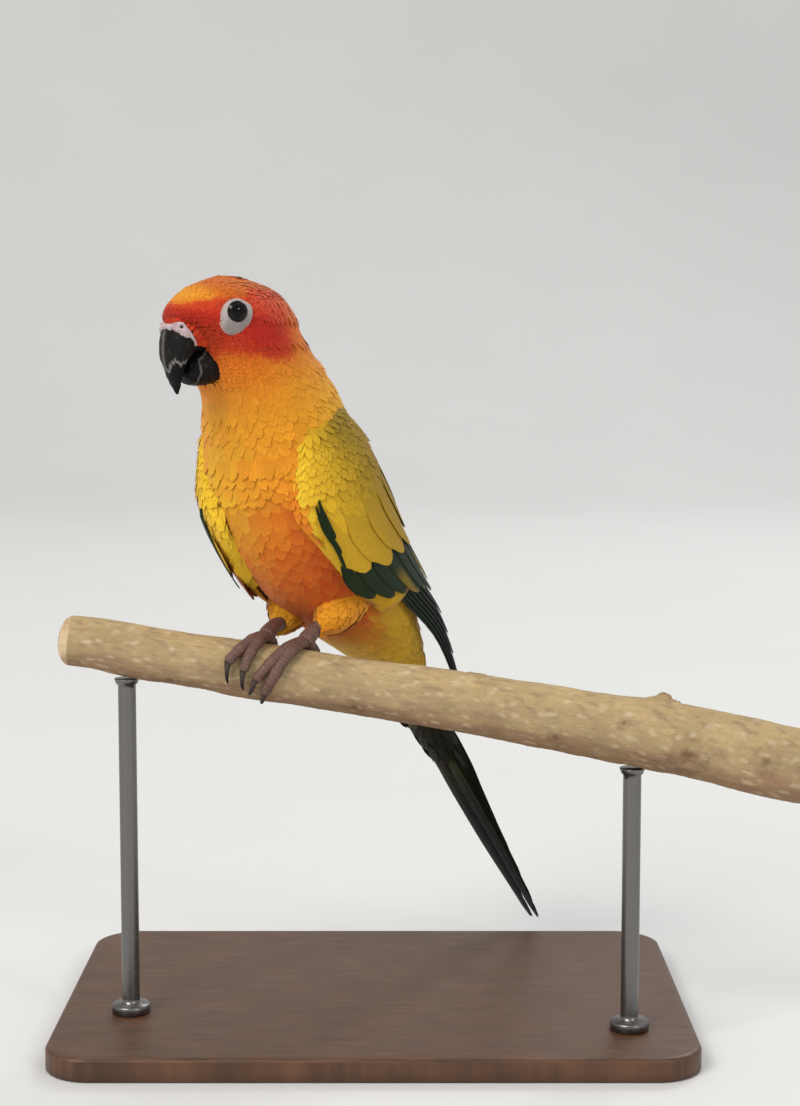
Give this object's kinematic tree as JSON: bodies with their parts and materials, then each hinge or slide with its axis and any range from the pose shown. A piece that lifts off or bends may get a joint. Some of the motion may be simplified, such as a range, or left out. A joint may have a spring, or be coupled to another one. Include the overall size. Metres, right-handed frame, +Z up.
{
  "type": "sun conure display model",
  "caption": "Life-size still model of a yellow, orange and green parakeet gripping a cut branch, held up by a flat base and two rods.",
  "frame": {"origin": "centre of the underside of the stand base", "axes": "+Z up; +X to the viewer's right along the branch and base; +Y away from the viewer; the bird faces -Y and a little -X"},
  "size_m": [0.2533, 0.1623, 0.256],
  "materials": {
    "feathers_head": "red-orange face and orange-yellow crown feathers, soft",
    "feathers_neck": "golden-orange feathers, soft",
    "feathers_body": "orange breast to red-orange belly feathers, soft",
    "feathers_wing": "yellow coverts, dark green and blue-black flight feathers",
    "feathers_tail": "blackish olive tail feathers",
    "feathers_thigh": "orange-yellow feathers, soft",
    "cere_skin": "pale pinkish bare skin, matt",
    "bill_horn": "black horn, satin, paler flaking edges",
    "eye": "very dark brown, wet gloss",
    "foot_skin": "purplish grey-brown scaled skin, matt",
    "claw_horn": "black horn, satin",
    "branch_wood": "pale barkless wood with brown knots, matt",
    "stand_wood": "black-stained wood, satin",
    "stand_metal": "matt black paint"
  },
  "bodies": {
    "root": {"head": "feathers_head", "neck": "feathers_neck", "torso": "feathers_body", "cere": "cere_skin", "bill_upper": "bill_horn", "bill_lower": "bill_horn", "eye_left": "eye", "eye_right": "eye", "wing_left": "feathers_wing", "wing_right": "feathers_wing", "tail": "feathers_tail", "thigh_left": "feathers_thigh", "thigh_right": "feathers_thigh", "foot_left": "foot_skin", "claw_left_outer": "claw_horn", "claw_left_inner": "claw_horn", "claw_left_rear_outer": "claw_horn", "claw_left_rear_inner": "claw_horn", "foot_right": "foot_skin", "claw_right_outer": "claw_horn", "claw_right_inner": "claw_horn", "claw_right_rear_outer": "claw_horn", "claw_right_rear_inner": "claw_horn", "branch": "branch_wood", "stand_base": "stand_wood", "stand_rod_1": "stand_metal", "stand_rod_2": "stand_metal"}
  },
  "joints": []
}
